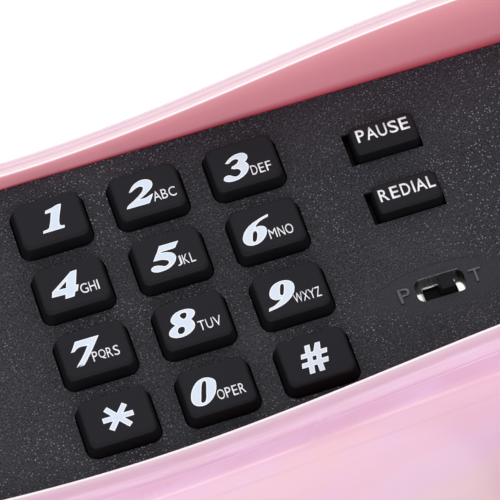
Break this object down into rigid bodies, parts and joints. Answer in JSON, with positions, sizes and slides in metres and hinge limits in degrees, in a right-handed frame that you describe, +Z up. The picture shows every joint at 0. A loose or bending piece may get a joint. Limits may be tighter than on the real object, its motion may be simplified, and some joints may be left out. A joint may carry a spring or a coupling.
{
  "type": "push-button telephone",
  "caption": "Compact push-button bedroom telephone: glossy trough-shaped base with a recessed key plate and a cradle switch, its handset lying off the hook in front.",
  "frame": {"origin": "centre of the base's resting plane, on the surface that it stands on, under the middle of the trough", "axes": "+X along the trough to the right of someone using the keys, +Y to the back, +Z up"},
  "size_m": [0.2285, 0.1504, 0.0455],
  "materials": {
    "pink_shell": "gloss, iridescent",
    "black_plate": "fine sand texture",
    "black_key": "soft matte",
    "pale_cover": "matte",
    "rubber": "matte",
    "board": "satin",
    "steel": "bright plated",
    "black_part": "satin"
  },
  "bodies": {
    "base": {"base_shell": "pink_shell", "bottom_cover": "pale_cover", "faceplate": "black_plate", "keypad_mat": "rubber", "keypad_board": "board", "board_screws": "steel", "main_board": "board", "hook_switch": "black_part", "ringer_speaker": "black_part", "switch_frame": "steel", "line_jack": "black_part", "handset_jack": "black_part", "cover_screws": "steel", "plate_screws": "steel", "rubber_feet": "rubber", "ballast_plate": "steel", "hook_springs": "steel"},
    "hook": {"hook_yoke": "black_part", "hook_plunger_left": "black_part", "hook_plunger_right": "black_part"},
    "tone_lever": {"tone_switch_lever": "black_key"},
    "handset": {"handset_back_shell": "pink_shell", "handset_face_shell": "pink_shell", "mouthpiece_grille": "pink_shell", "earpiece_grille": "pink_shell", "receiver_capsule": "steel", "microphone_holder": "rubber", "microphone": "steel", "handset_weight": "steel", "handset_cord_jack": "black_part", "handset_screws": "steel"},
    "key_1_body": {"key_1": "black_key"},
    "key_2_body": {"key_2": "black_key"},
    "key_3_body": {"key_3": "black_key"},
    "key_4_body": {"key_4": "black_key"},
    "key_5_body": {"key_5": "black_key"},
    "key_6_body": {"key_6": "black_key"},
    "key_7_body": {"key_7": "black_key"},
    "key_8_body": {"key_8": "black_key"},
    "key_9_body": {"key_9": "black_key"},
    "key_star_body": {"key_star": "black_key"},
    "key_0_body": {"key_0": "black_key"},
    "key_pound_body": {"key_pound": "black_key"},
    "key_pause_body": {"key_pause": "black_key"},
    "key_redial_body": {"key_redial": "black_key"}
  },
  "joints": [
    {"name": "handset_lift", "type": "slide", "parent": "base", "child": "handset", "axis": [0, 0, 1], "range_m": [0, 0.12]},
    {"name": "hook_press", "type": "slide", "parent": "base", "child": "hook", "axis": [0, 0, -1], "range_m": [0, 0.0035], "stiffness_N_per_m": 300, "deforming": ["hook_springs"]},
    {"name": "tone_slide", "type": "slide", "parent": "base", "child": "tone_lever", "axis": [1, 0, 0], "range_m": [-0.0022, 0.0004]},
    {"name": "key_1_press", "type": "slide", "parent": "base", "child": "key_1_body", "axis": [0, 0, -1], "range_m": [0, 0.0015], "stiffness_N_per_m": 400},
    {"name": "key_2_press", "type": "slide", "parent": "base", "child": "key_2_body", "axis": [0, 0, -1], "range_m": [0, 0.0015], "stiffness_N_per_m": 400},
    {"name": "key_3_press", "type": "slide", "parent": "base", "child": "key_3_body", "axis": [0, 0, -1], "range_m": [0, 0.0015], "stiffness_N_per_m": 400},
    {"name": "key_4_press", "type": "slide", "parent": "base", "child": "key_4_body", "axis": [0, 0, -1], "range_m": [0, 0.0015], "stiffness_N_per_m": 400},
    {"name": "key_5_press", "type": "slide", "parent": "base", "child": "key_5_body", "axis": [0, 0, -1], "range_m": [0, 0.0015], "stiffness_N_per_m": 400},
    {"name": "key_6_press", "type": "slide", "parent": "base", "child": "key_6_body", "axis": [0, 0, -1], "range_m": [0, 0.0015], "stiffness_N_per_m": 400},
    {"name": "key_7_press", "type": "slide", "parent": "base", "child": "key_7_body", "axis": [0, 0, -1], "range_m": [0, 0.0015], "stiffness_N_per_m": 400},
    {"name": "key_8_press", "type": "slide", "parent": "base", "child": "key_8_body", "axis": [0, 0, -1], "range_m": [0, 0.0015], "stiffness_N_per_m": 400},
    {"name": "key_9_press", "type": "slide", "parent": "base", "child": "key_9_body", "axis": [0, 0, -1], "range_m": [0, 0.0015], "stiffness_N_per_m": 400},
    {"name": "key_star_press", "type": "slide", "parent": "base", "child": "key_star_body", "axis": [0, 0, -1], "range_m": [0, 0.0015], "stiffness_N_per_m": 400},
    {"name": "key_0_press", "type": "slide", "parent": "base", "child": "key_0_body", "axis": [0, 0, -1], "range_m": [0, 0.0015], "stiffness_N_per_m": 400},
    {"name": "key_pound_press", "type": "slide", "parent": "base", "child": "key_pound_body", "axis": [0, 0, -1], "range_m": [0, 0.0015], "stiffness_N_per_m": 400},
    {"name": "key_pause_press", "type": "slide", "parent": "base", "child": "key_pause_body", "axis": [0, 0, -1], "range_m": [0, 0.0015], "stiffness_N_per_m": 400},
    {"name": "key_redial_press", "type": "slide", "parent": "base", "child": "key_redial_body", "axis": [0, 0, -1], "range_m": [0, 0.0015], "stiffness_N_per_m": 400}
  ]
}
